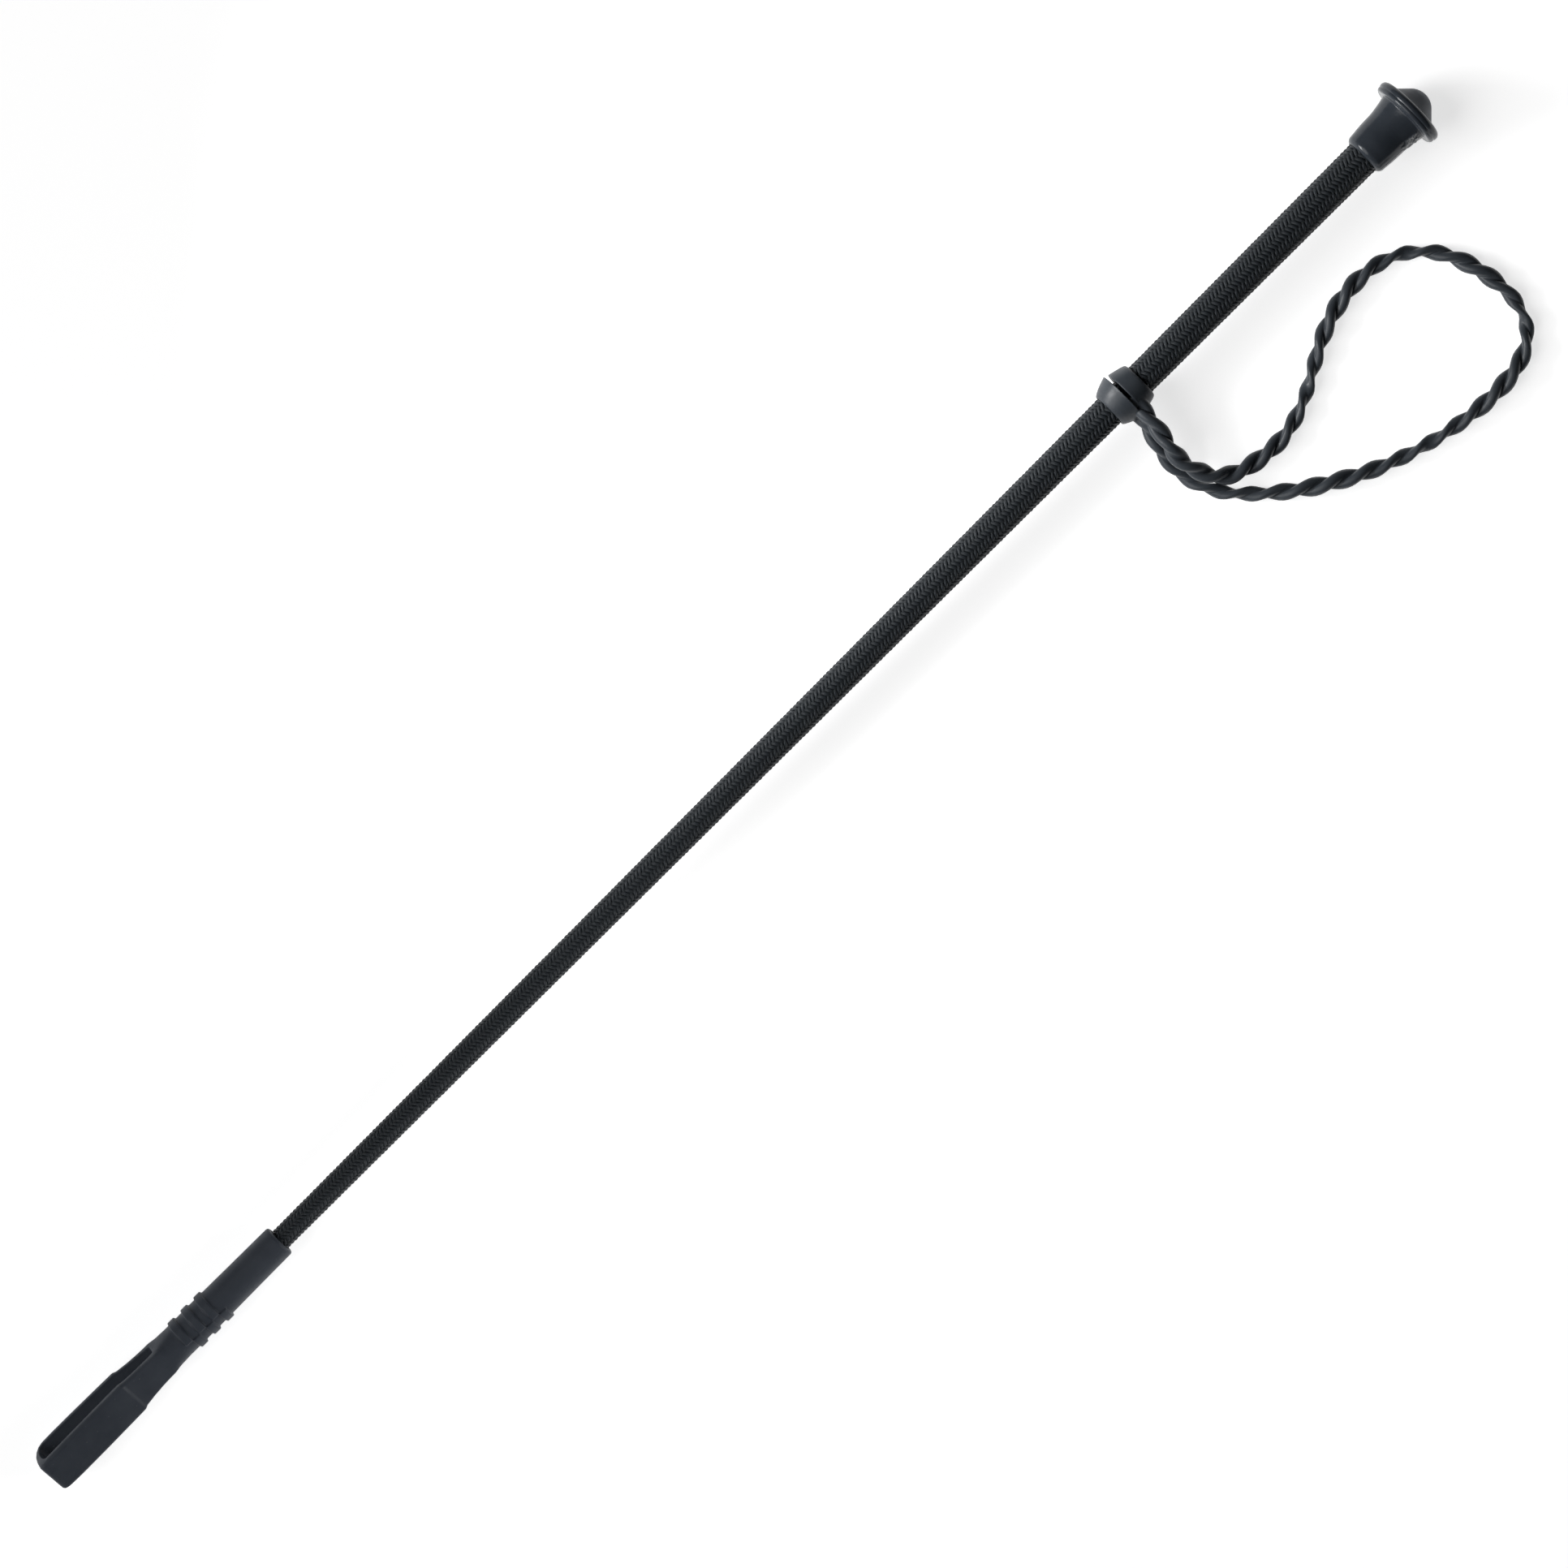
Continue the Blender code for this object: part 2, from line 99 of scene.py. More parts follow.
# The cap's skirt: its stations, and a radius that the bore's wall stays within. The torn flash of
# the mould is on the loop's side of it, by angle from the top and by station.
SKIRT_FROM = 11.2
SKIRT_TO = 29.4
SKIRT_INSIDE = 7.2
FLASH_COLUMNS = np.radians(np.linspace(44, 80, 9))
FLASH_ROWS = np.linspace(11.6, 19.0, 11)
FLASH_HEIGHT = 0.6
FLASH_LINE = math.radians(69)

# The collar, and where it is cut apart: rings, web and strap are one moulding, in three pieces.
COLLAR_MIDDLE = 141.5
ROOT_CUT = 9.6
STRAP_CUT = 18.8

# The keeper: stations of its mouth and of the last rib on each side of the mould's parting plane.
FERRULE_START = 540.2
RIB_PITCH = 6.1
RIBS = 3
LAST_RIBS = {1: 585.15, -1: 582.4}

# The wrist loop's strap: two strands side by side. Each pair is for where they are pressed flat and
# for where they stand apart. LYING is the route's height along the table.
STRAND_RADIUS = (1.45, 2.05)
STRAND_OFFSET = (1.12, 1.24)
LYING = 2.7
TABLE_GAP = 0.04
STRAP_ROUTE = [
    (19.4, 142.6, 14.2),
    (24.0, 143.7, 13.9),
    (30.0, 143.5, 11.6),
    (36.0, 141.6, 8.8),
    (41.0, 138.4, 6.3),
    (44.6, 133.2, 4.2),
    (46.8, 125.0, 2.8),
    (47.5, 116.0, LYING),
    (46.3, 108.0, LYING),
    (43.1, 99.2, LYING),
    (38.7, 91.0, LYING),
    (34.1, 82.8, LYING),
    (30.6, 74.6, LYING),
    (28.4, 65.9, LYING),
    (27.9, 56.6, LYING),
    (29.6, 47.4, LYING),
    (33.6, 39.8, LYING),
    (40.4, 33.2, LYING),
    (48.7, 29.2, LYING),
    (57.8, 26.8, LYING),
    (67.0, 26.0, LYING),
    (75.5, 27.8, LYING),
    (82.0, 32.8, LYING),
    (85.8, 41.0, LYING),
    (87.1, 50.4, LYING),
    (86.9, 59.8, LYING),
    (85.7, 69.0, LYING),
    (83.8, 78.2, LYING),
    (81.3, 87.0, LYING),
    (78.2, 95.5, LYING),
    (74.5, 103.8, LYING),
    (70.2, 111.6, LYING),
    (65.4, 119.4, LYING),
    (59.9, 126.9, LYING),
    (53.8, 133.8, LYING),
    (47.0, 140.0, LYING),
    (39.6, 144.2, LYING),
    (31.5, 146.4, 3.0),
    (25.0, 146.2, 5.2),
    (19.6, 145.2, 8.2),
]
# The strap's two ends inside the collar's moulding, on from the route's first and last points.
ROOT_A = [(2.6, 141.2, 16.3), (6.6, 141.0, 16.5), (10.6, 141.3, 16.1), (15.0, 141.9, 15.2)]
ROOT_B = [(15.2, 144.2, 9.6), (11.0, 143.2, 10.6), (7.4, 142.6, 11.3), (4.0, 142.2, 11.8)]

# The camera looks straight down, and is rolled so that the whole crop fits along the diagonal.
# These are in metres.
CAMERA_HEIGHT = 2.4
CAMERA_ROLL = math.radians(45)
SENSOR_WIDTH_MM = 36.0
FRAME_WIDTH = 0.524
FRAME_SHIFT = 0.016

TABLE_HALF = 4.0
TABLE_DROP = 0.0002


def station_y(station):
    """World y of a station, in millimetres."""
    return CAP_TOP[1] / MM - station


def placed(points):
    """World metres of (x, up from the axis, station) rows in millimetres."""
    points = np.asarray(points, float) * MM
    return CAP_TOP + points[:, :1] * SIDE + points[:, 1:2] * UP - points[:, 2:3] * ALONG


def braid_radius(station):
    """The shaft's radius over the braid: an even taper."""
    slope = (BRAID_RADIUS_AT_TIP - BRAID_RADIUS_AT_CAP) / (TAPER_TO - TAPER_FROM)
    return BRAID_RADIUS_AT_CAP + slope * (station - TAPER_FROM)


# --------------------------------------------------------------------------- meshes


def mesh_object(name, vertices, faces, material=None, values=None):
    """A smooth-shaded mesh object; values are named numbers for each vertex."""
    mesh = bpy.data.meshes.new(name)
    mesh.from_pydata([tuple(v) for v in vertices], [], faces)
    for key, numbers in (values or {}).items():
        layer = mesh.attributes.new(key, "FLOAT", "POINT")
        layer.data.foreach_set("value", np.asarray(numbers, np.float32))
    mesh.shade_smooth()
    mesh.validate()
    piece = bpy.data.objects.new(name, mesh)
    bpy.context.scene.collection.objects.link(piece)
    if material is not None:
        mesh.materials.append(material)
    return piece


def tube_faces(rings, sides, capped=True):
    """Faces of a tube of rings, each a closed loop of sides points."""
    faces = []
    for i in range(rings - 1):
        for j in range(sides):
            k = (j + 1) % sides
            faces.append((i * sides + j, i * sides + k, (i + 1) * sides + k, (i + 1) * sides + j))
    if capped:
        last = (rings - 1) * sides
        faces.append(tuple(reversed(range(sides))))
        faces.append(tuple(last + j for j in range(sides)))
    return faces


def arc(center_radius, center_station, radius, start_deg, end_deg, count):
    """(radius, station) points on an arc; 0 degrees points away from the axis, 90 to the tip."""
    angles = np.radians(np.linspace(start_deg, end_deg, count + 1))
    return [
        (center_radius + radius * math.cos(a), center_station + radius * math.sin(a)) for a in angles
    ]


def turned(profile, sides, bump=None):
    """Vertices and faces of a closed profile of (radius, station) points turned about the axis."""
    profile = np.asarray(profile, float)
    angles = np.arange(sides) * math.tau / sides
    radius = np.repeat(profile[:, 0], sides)
    station = np.repeat(profile[:, 1], sides)
    angle = np.tile(angles, len(profile))
    if bump is not None:
        radius = radius + bump(radius, station, angle)
    vertices = np.column_stack((radius * np.sin(angle), radius * np.cos(angle), station))
    return vertices, tube_faces(len(profile), sides, capped=False)


def ring_of(profile, sides, bump=None):
    """A closed profile turned into a solid ring."""
    vertices, faces = turned(list(profile) + [profile[0]], sides, bump)
    last = (len(profile)) * sides
    faces = [tuple(v - last if v >= last else v for v in face) for face in faces]
    return vertices[:last], faces


def joined(*solids):
    """Several (vertices, faces) as one."""
    vertices, faces, first = [], [], 0
    for points, loops in solids:
        vertices.append(np.asarray(points, float))
        faces += [tuple(first + v for v in loop) for loop in loops]
        first += len(points)
    return np.vstack(vertices), faces


def moulded(solids, voxel, rounds):
    """The union of overlapping solids, with its edges and corners rounded as a mould leaves them."""
    vertices, faces = joined(*solids)
    piece = mesh_object("moulding", vertices, faces)
    remesh = piece.modifiers.new("Union", "REMESH")
    remesh.mode = "VOXEL"
    remesh.voxel_size = voxel
    remesh.use_smooth_shade = True
    smooth = piece.modifiers.new("Rounding", "SMOOTH")
    smooth.factor = 0.5
    smooth.iterations = rounds
    bpy.context.view_layer.update()
    depsgraph = bpy.context.evaluated_depsgraph_get()
    mesh = bpy.data.meshes.new_from_object(piece.evaluated_get(depsgraph))
    points = np.empty(len(mesh.vertices) * 3)
    mesh.vertices.foreach_get("co", points)
    loops = [tuple(p.vertices) for p in mesh.polygons]
    bpy.data.objects.remove(piece)
    bpy.data.meshes.remove(mesh)
    return points.reshape(-1, 3), loops


# --------------------------------------------------------------------------- materials


class Nodes:
    """Adds nodes to a material and links them by name."""

    def __init__(self, name):
        self.material = bpy.data.materials.new(name)
        self.material.use_nodes = True
        self.tree = self.material.node_tree
        self.shader = self.tree.nodes["Principled BSDF"]

    def add(self, kind, **settings):
        node = self.tree.nodes.new("ShaderNode" + kind)
        for key, value in settings.items():
            setattr(node, key, value)
        return node

    def feed(self, socket, value):
        if isinstance(value, bpy.types.NodeSocket):
            self.tree.links.new(value, socket)
        else:
            socket.default_value = value

    def coordinates(self):
        return self.add("TexCoord").outputs["Object"]

    def attribute(self, name):
        return self.add("Attribute", attribute_name=name).outputs["Fac"]

    def math(self, operation, a, b=0.0, clamp=False):
        node = self.add("Math", operation=operation, use_clamp=clamp)
        self.feed(node.inputs[0], a)
        self.feed(node.inputs[1], b)
        return node.outputs[0]

    def noise(self, scale, detail=3.0, roughness=0.5, vector=None):
        node = self.add("TexNoise")
        self.feed(node.inputs["Vector"], vector or self.coordinates())
        node.inputs["Scale"].default_value = scale
        node.inputs["Detail"].default_value = detail
        node.inputs["Roughness"].default_value = roughness
        return node.outputs["Fac"]

    def remap(self, value, from_low, from_high, to_low, to_high):
        node = self.add("MapRange")
        self.feed(node.inputs["Value"], value)
        node.inputs["From Min"].default_value = from_low
        node.inputs["From Max"].default_value = from_high
        node.inputs["To Min"].default_value = to_low
        node.inputs["To Max"].default_value = to_high
        return node.outputs["Result"]

    def mix(self, factor, first, second):
        node = self.add("Mix", data_type="RGBA")
        self.feed(node.inputs["Factor"], factor)
        self.feed(node.inputs["A"], first)
        self.feed(node.inputs["B"], second)
        return node.outputs["Result"]

    def bump(self, height, distance, strength=1.0, normal=None):
        node = self.add("Bump")
        node.inputs["Strength"].default_value = strength
        node.inputs["Distance"].default_value = distance
        self.feed(node.inputs["Height"], height)
        if normal is not None:
            self.feed(node.inputs["Normal"], normal)
        return node.outputs["Normal"]

    def finish(self, color, roughness, normal=None, **fixed):
        """Feeds the shader, sets its other sockets to the fixed values, and gives the material."""
        self.feed(self.shader.inputs["Base Color"], color)
        self.feed(self.shader.inputs["Roughness"], roughness)
        if normal is not None:
            self.feed(self.shader.inputs["Normal"], normal)
        for key, value in fixed.items():
            self.shader.inputs[key.replace("_", " ")].default_value = value
        return self.material


def rubber_material(
    name, dark, light, roughness, grain, dust=0.0, satin=None, painted_glint=None, parting=False
):
    """Moulded rubber: clouded colour from dark to light, and mould grain of the height given in
    metres. Where asked, it has specks of dust; a duller part named by an attribute, its colour
    lightened partly for its satin finish and partly as painted light; a patch named by an attribute
    and painted light grey as a painted highlight; and a parting line."""
    n = Nodes(name)
    clouds = n.noise(90.0, 4.0, 0.6)
    color = n.mix(n.remap(clouds, 0.35, 0.65, 0.0, 1.0), (*dark, 1.0), (*light, 1.0))
    if dust:
        specks = n.remap(n.noise(1100.0, 1.0), 0.76, 0.80, 0.0, dust)
        color = n.mix(specks, color, (0.16, 0.17, 0.17, 1.0))
    rough = n.remap(n.noise(260.0), 0.3, 0.7, roughness - 0.07, roughness + 0.07)
    if satin:
        # The duller part is rougher, and its colour is lightened partly for the satin finish and
        # partly as painted light against the shade it lies in.
        dull_and_painted_light = n.attribute(satin)
        rough = n.math("ADD", rough, n.math("MULTIPLY", dull_and_painted_light, 0.3))
        color = n.mix(dull_and_painted_light, color, tuple(1.8 * c for c in light) + (1.0,))
    if painted_glint:
        # Painted highlight: the flash patch is painted light grey in place of its glints.
        painted_glint_mask = n.math("MULTIPLY", n.attribute(painted_glint), n.remap(n.noise(1300.0), 0.4, 0.6, 0.3, 1.0))
        color = n.mix(painted_glint_mask, color, (0.34, 0.35, 0.36, 1.0))
    fine = n.math("MULTIPLY", n.noise(5200.0, 2.0), grain)
    coarse = n.math("MULTIPLY", n.noise(420.0, 2.0), 1.4 * grain)
    height = n.math("ADD", fine, coarse)
    if parting:
        line = n.remap(n.attribute("across"), 0.10, 0.24, 1.0, 0.0)
        height = n.math("ADD", height, n.math("MULTIPLY", line, 0.00002))
    return n.finish(color, rough, n.bump(height, 1.0), Specular_IOR_Level=0.28)


def thread_material():
    """Black braiding thread: filaments along each yarn, shinier where it stands proud. Its colour is
    painted darker where the yarn dips under, as painted shade, and lighter on each crest, in
    patches too, as a painted highlight."""
    n = Nodes("black_braid_thread")
    along = n.attribute("yarn_along")
    across = n.attribute("yarn_across")
    vector = n.add("CombineXYZ")
    n.feed(vector.inputs["X"], n.math("MULTIPLY", along, 0.22))
    n.feed(vector.inputs["Y"], n.math("MULTIPLY", across, 4.5))
    n.feed(vector.inputs["Z"], n.attribute("yarn_number"))
    filaments = n.noise(1.6, 2.0, 0.6, vector.outputs["Vector"])
    lift = n.attribute("yarn_lift")
    # Painted shade and highlight: the colour darkens as yarn_lift falls towards the dips and lightens
    # on the crests.
    tone = n.math("MULTIPLY", n.remap(filaments, 0.3, 0.7, 0.3, 1.0), lift)
    color = n.mix(tone, (0.017, 0.021, 0.025, 1.0), (0.034, 0.040, 0.047, 1.0))
    # Lighter patches on the crests: a painted highlight.
    painted_crest_highlight = n.math("MULTIPLY", n.remap(n.noise(140.0, 3.0), 0.52, 0.75, 0.0, 0.4), lift)
    color = n.mix(painted_crest_highlight, color, (0.045, 0.050, 0.055, 1.0))
    shine = n.math("MULTIPLY", lift, 0.44)
    rough = n.math("SUBTRACT", n.remap(filaments, 0.3, 0.7, 0.62, 0.74), shine)
    normal = n.bump(n.math("MULTIPLY", filaments, 0.00009), 1.0)
    return n.finish(color, rough, normal, Specular_IOR_Level=0.26)


def padding_material():
    """Black wadding wound round the rod."""
    n = Nodes("wound_padding")
    winding = n.add("TexWave", wave_type="BANDS", bands_direction="Y")
    n.feed(winding.inputs["Vector"], n.coordinates())
    winding.inputs["Scale"].default_value = 160.0
    winding.inputs["Distortion"].default_value = 2.0
    color = n.mix(winding.outputs["Fac"], (0.006, 0.006, 0.007, 1.0), (0.016, 0.016, 0.017, 1.0))
    fuzz = n.math("MULTIPLY", n.noise(3500.0, 3.0), 0.0001)
    return n.finish(color, 0.9, n.bump(fuzz, 1.0))


def rod_material():
    """Glass fibre rod: resin over fibres that run along it."""
    n = Nodes("glass_fibre_rod")
    stretch = n.add("Mapping")
    n.feed(stretch.inputs["Vector"], n.coordinates())
    stretch.inputs["Scale"].default_value = (900.0, 12.0, 900.0)
    fibres = n.noise(1.0, 3.0, 0.6, stretch.outputs["Vector"])
    color = n.mix(fibres, (0.44, 0.40, 0.28, 1.0), (0.66, 0.62, 0.50, 1.0))
    return n.finish(color, n.remap(fibres, 0.3, 0.7, 0.2, 0.4))


def table_material():
    """White acrylic, lit from below as well."""
    n = Nodes("pale_table")
    tone = n.noise(3.0, 2.0)
    color = n.mix(tone, (0.82, 0.82, 0.82, 1.0), (0.85, 0.85, 0.85, 1.0))
    white = (1.0, 1.0, 1.0, 1.0)
    return n.finish(
        color, 0.9, Specular_IOR_Level=0.1, Emission_Color=white, Emission_Strength=0.72
    )


# --------------------------------------------------------------------------- the shaft


def braid_yarns(name, direction, material):
    """The yarns that wind one way round the shaft, over and under those of the other way.

    direction is 1 or -1. Over a twelfth of a turn a yarn lies on top, over the next it dips under.
    That makes twelve wales of slanting stitches along the shaft, with the slant changing from wale
    to wale.
    """
    step = ROW_PITCH / 4
    stations = np.arange(*BRAID_SPAN, step)
    outer = braid_radius(stations)
    slope = np.arctan2(ROW_PITCH, outer * WALE)
    section = np.array(
        [(-0.5, -0.12), (-0.32, 0.14), (0.0, YARN_HALF_THICKNESS), (0.32, 0.14), (0.5, -0.12)]
    )
    rng = random.Random(7 if direction > 0 else 11)
    points, faces, along, across, numbers, lift = [], [], [], [], [], []
    for number in range(YARNS_EACH_WAY):
        start = number * WALE + (0.0 if direction > 0 else WALE / 2)
        angle = start - direction * WALE / ROW_PITCH * stations
        over = direction * np.cos(6 * angle)
        wander = 0.03 * np.sin(stations / 9.0 + rng.uniform(0, math.tau))
        level = outer - YARN_HALF_THICKNESS - YARN_DIP + YARN_DIP * over + wander
        centre = np.column_stack((level * np.sin(angle), level * np.cos(angle), stations))
        tangent = np.gradient(centre, axis=0)
        tangent /= np.linalg.norm(tangent, axis=1, keepdims=True)
        normal = np.column_stack((np.sin(angle), np.cos(angle), np.zeros_like(angle)))
        sideways = np.cross(tangent, normal)
        width = ROW_PITCH * np.cos(slope) * YARN_COVER * rng.uniform(0.97, 1.03)
        first = len(points) * len(stations) * len(section)
        rings = centre[:, None] + (width[:, None, None] * section[None, :, :1] * sideways[:, None])
        rings = rings + section[None, :, 1:] * normal[:, None]
        points.append(rings.reshape(-1, 3))
        loops = tube_faces(len(stations), len(section))
        faces += [tuple(first + v for v in loop) for loop in loops]
        along.append(np.repeat(stations / np.sin(slope), len(section)))
        across.append(np.tile(section[:, 0] * 2, len(stations)))
        numbers.append(np.full(len(stations) * len(section), 3.0 * number))
        # yarn_lift: how proud the yarn stands; the thread's colour uses it for painted shade and a
        # painted highlight.
        lift.append(np.repeat((0.5 + 0.5 * over) ** 6, len(section)))
    values = {
        "yarn_along": np.concatenate(along),
        "yarn_across": np.concatenate(across),
        "yarn_number": np.concatenate(numbers),
        "yarn_lift": np.concatenate(lift),
    }
    piece = mesh_object(name, placed(np.vstack(points)), faces, material, values)
    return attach(piece, "crop")


# --------------------------------------------------------------------------- the cap


def cap_flash(radius, station, angle):
    """How far the mould's torn flash stands out of the skirt: a crumpled patch on the loop's side of
    it, and a ragged thin line from the rim down to the lip."""
    rng = np.random.default_rng(3)
    on_skirt = (radius > SKIRT_INSIDE) & (station > SKIRT_FROM) & (station < SKIRT_TO)
    knots = np.linspace(11.0, 31.0, 61)
    ragged = np.interp(station, knots, rng.uniform(0.02, 0.16, knots.size))
    middle = FLASH_LINE + np.interp(station, knots, rng.uniform(-0.02, 0.02, knots.size))
    line = ragged * np.exp(-(((angle - middle) / 0.03) ** 2))
    rows, columns = FLASH_ROWS.size, FLASH_COLUMNS.size
    crumple = rng.uniform(0.0, FLASH_HEIGHT, (rows, columns))
    crumple[[0, -1]] = 0.0
    crumple[:, [0, -1]] = 0.0
    crumple[-3:, :3] = 0.0
    row = np.clip(np.interp(station, FLASH_ROWS, np.arange(rows)), 0, rows - 1.001)
    column = np.clip(np.interp(angle, FLASH_COLUMNS, np.arange(columns)), 0, columns - 1.001)
    i, j = row.astype(int), column.astype(int)
    v, u = row - i, column - j
    low = crumple[i, j] * (1 - u) + crumple[i, j + 1] * u
    high = crumple[i + 1, j] * (1 - u) + crumple[i + 1, j + 1] * u
    patch = low * (1 - v) + high * v
    return np.where(on_skirt, np.maximum(line, patch), 0.0)


def resampled(profile, step):
    """Points along a profile, no further apart than step, with its own points kept."""
    dense = []
    for start, end in zip(profile, profile[1:]):
        start, end = np.array(start), np.array(end)
        count = max(1, math.ceil(np.linalg.norm(end - start) / step))
        dense += [tuple(start + (end - start) * i / count) for i in range(count)]
    return dense + [tuple(profile[-1])]


def make_cap(material):
    """Rounded 45 degree nose, a thick rim with a fine groove towards the skirt, and a waisted skirt
    with a lip that turns in."""
    nose = 6.8
    rim = 1.8
    bead = 1.15
    groove = (12.66, 8.9)
    profile = arc(0.0, nose, nose, -90, -45, 18)
    profile += [(7.6, 4.85), (9.15, 6.3), (9.45, 6.42), (11.6, 6.5)]
    profile += arc(11.2, 8.02, rim, -88, 24, 14)
    profile += [groove]
    profile += arc(11.58, 9.35, bead, -20, 86, 12)
    profile += [(10.3, 10.52), (9.85, 10.62), (9.6, 10.85), (9.5, 11.2)]
    profile += [(9.3, 12.0), (9.05, 13.2), (8.82, 14.6), (8.62, 15.8), (8.45, 17.0)]
    profile += [(8.34, 18.6), (8.3, 20.4), (8.24, 22.4), (8.12, 24.2), (7.97, 25.6), (7.86, 26.7)]
    profile += arc(5.4, 27.45, 2.4, 4, 64, 10)
    mouth = braid_radius(29.8) + BORE_GAP
    profile += [(mouth, 29.75), (mouth, 11.0), (3.6, 11.0), (3.6, 6.2), (0.001, 6.2)]
    vertices, faces = turned(resampled(profile, 0.3), 260, cap_flash)
    x, up, station = vertices.T
    flash = cap_flash(np.hypot(x, up), station, np.arctan2(x, up))
    # dome marks the duller top, whose colour is lightened partly as painted light; flash marks the
    # torn flash, painted light grey as a painted highlight.
    values = {
        "dome": np.clip((6.4 - station) / 0.3, 0, 1),
        "flash": np.clip(flash / 0.4, 0, 1) ** 2,
    }
    piece = mesh_object("cap", placed(vertices), faces, material, values)
    merge_poles(piece)
    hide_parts("mushroom_cap")
    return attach(piece, "crop")


def merge_poles(piece):
    """Closes the ends of a turned mesh where its profile meets the axis."""
    work = bmesh.new()
    work.from_mesh(piece.data)
    bmesh.ops.remove_doubles(work, verts=work.verts, dist=0.004 * MM)
    work.to_mesh(piece.data)
    work.free()


# --------------------------------------------------------------------------- the wrist loop


def smooth_line(points, step):
    """Points about one step apart on a Catmull-Rom curve through the given ones."""
    points = [np.array(p, float) for p in points]
    padded = [2 * points[0] - points[1]] + points + [2 * points[-1] - points[-2]]
    line = []
    for before, start, end, after in zip(padded, padded[1:], padded[2:], padded[3:]):
        count = max(1, round(np.linalg.norm(end - start) / step))
        for i in range(count):
            t = i / count
            line.append(
                0.5
                * (
                    2 * start
                    + (end - before) * t
                    + (2 * before - 5 * start + 4 * end - after) * t**2
                    + (3 * start - before - 3 * end + after) * t**3
                )
            )
    line.append(points[-1])
    return np.array(line)


def arc_lengths(line):
    """How far along a line of points each one is."""
    steps = np.linalg.norm(np.diff(line, axis=0), axis=1)
    return np.concatenate(([0.0], np.cumsum(steps)))


def eased(at, knots, values):
    """Values eased between knots, level at each knot."""
    knots, values = np.array(knots), np.array(values)
    i = np.clip(np.searchsorted(knots, at) - 1, 0, len(knots) - 2)
    t = np.clip((at - knots[i]) / (knots[i + 1] - knots[i]), 0, 1)
    return values[i] + (values[i + 1] - values[i]) * t * t * (3 - 2 * t)


def strap_line():
    """The whole strap from one root to the other: its centreline in metres, and its arc length in
    millimetres from the route's first point."""
    line = smooth_line(ROOT_A + STRAP_ROUTE + ROOT_B, 0.45)
    lengths = arc_lengths(line)
    first = np.argmin(np.linalg.norm(line - np.array(STRAP_ROUTE[0]), axis=1))
    reach = lengths - lengths[first]
    fullness = strap_fullness(reach)
    half_width = lobe_radius(fullness) + lobe_offset(fullness)
    lying = np.clip((6.0 - line[:, 2]) / 3.0, 0, 1)
    line[:, 2] += lying * (half_width + TABLE_GAP - LYING)
    world = np.column_stack((line[:, 0], station_y(line[:, 1]), line[:, 2])) * MM
    return world, reach


def strap_fullness(reach):
    """1 where the two strands stand apart, 0 where they are pressed into one flat band."""
    knots = [-22, 39, 70, 103, 129.5, 154, 177, 200, 233.5, 271, 301, 352]
    return eased(reach, knots, [0.8, 1, 0, 1, 0, 1, 0, 1, 0, 1, 0.1, 0.8])


def lobe_radius(fullness):
    """The radius of each strand."""
    flat, full = STRAND_RADIUS
    return flat + (full - flat) * fullness


def lobe_offset(fullness):
    """How far each strand's middle is from the strap's."""
    flat, full = STRAND_OFFSET
    return flat + (full - flat) * fullness


def strap_twist(reach):
    """The strap's turn: half a turn about every 10 mm, a little more often before the middle than
    past it."""
    first, half_pitch, drawn_in, last = 23.8, 10.28, 2.3, 27
    half_turns = np.arange(-6, 38)
    turns_within = np.clip(half_turns, 0, last)
    places = first + half_pitch * half_turns
    places = places - drawn_in * np.sin(math.pi * turns_within / last)
    return math.pi / 2 + math.pi * np.interp(reach, places, half_turns)


def strap_loft(world, reach, scale=1.0, sides=44):
    """Two strands moulded side by side and twisted to the left: a loft along the centreline. Its
    section goes from a flat band to two lobes with a valley between, as the fullness says."""
    phi = np.arange(sides) * math.tau / sides
    phi = phi + 0.24 * np.sin(4 * phi)
    tangent = np.gradient(world, axis=0)
    tangent /= np.linalg.norm(tangent, axis=1, keepdims=True)
    side = np.cross(tangent, np.array([0.0, 0.0, 1.0]))
    side /= np.linalg.norm(side, axis=1, keepdims=True)
    top = np.cross(side, tangent)
    fullness = strap_fullness(reach)
    radius = lobe_radius(fullness)[:, None]
    offset = lobe_offset(fullness)[:, None]
    inside = np.sqrt(np.maximum(radius**2 - (offset * np.sin(phi)) ** 2, 0.04))
    lobes = offset * np.abs(np.cos(phi)) + inside
    band = 1 / np.sqrt((np.cos(phi) / (radius + offset)) ** 2 + (np.sin(phi) / radius) ** 2)
    share = np.sqrt(fullness)[:, None]
    depth, half_angle = 0.55, 0.22
    valley = depth * share * np.exp(-((np.cos(phi) / half_angle) ** 2))
    length = share * lobes + (1 - share) * band - valley
    turn = strap_twist(reach)[:, None] + phi
    around = np.cos(turn)[:, :, None] * side[:, None] + np.sin(turn)[:, :, None] * top[:, None]
    length = length * np.broadcast_to(scale, len(world))[:, None]
    vertices = world[:, None] + length[:, :, None] * MM * around
    return vertices.reshape(-1, 3), tube_faces(len(world), sides)


def in_crop(world):
    """World metres as (x, up, station) in millimetres."""
    from_top = (np.asarray(world) - CAP_TOP) / MM
    return np.column_stack((from_top @ SIDE, from_top @ UP, -(from_top @ ALONG)))


def sector(inner, outer, low, high, start_deg, end_deg, count=60):
    """Part of a square-sided ring, from one angle to another, measured from up towards the loop."""
    points, sides = [], 4
    for a in np.radians(np.linspace(start_deg, end_deg, count)):
        for radius, station in ((inner, low), (outer, low), (outer, high), (inner, high)):
            points.append((radius * math.sin(a), radius * math.cos(a), station))
    return points, tube_faces(count, sides)


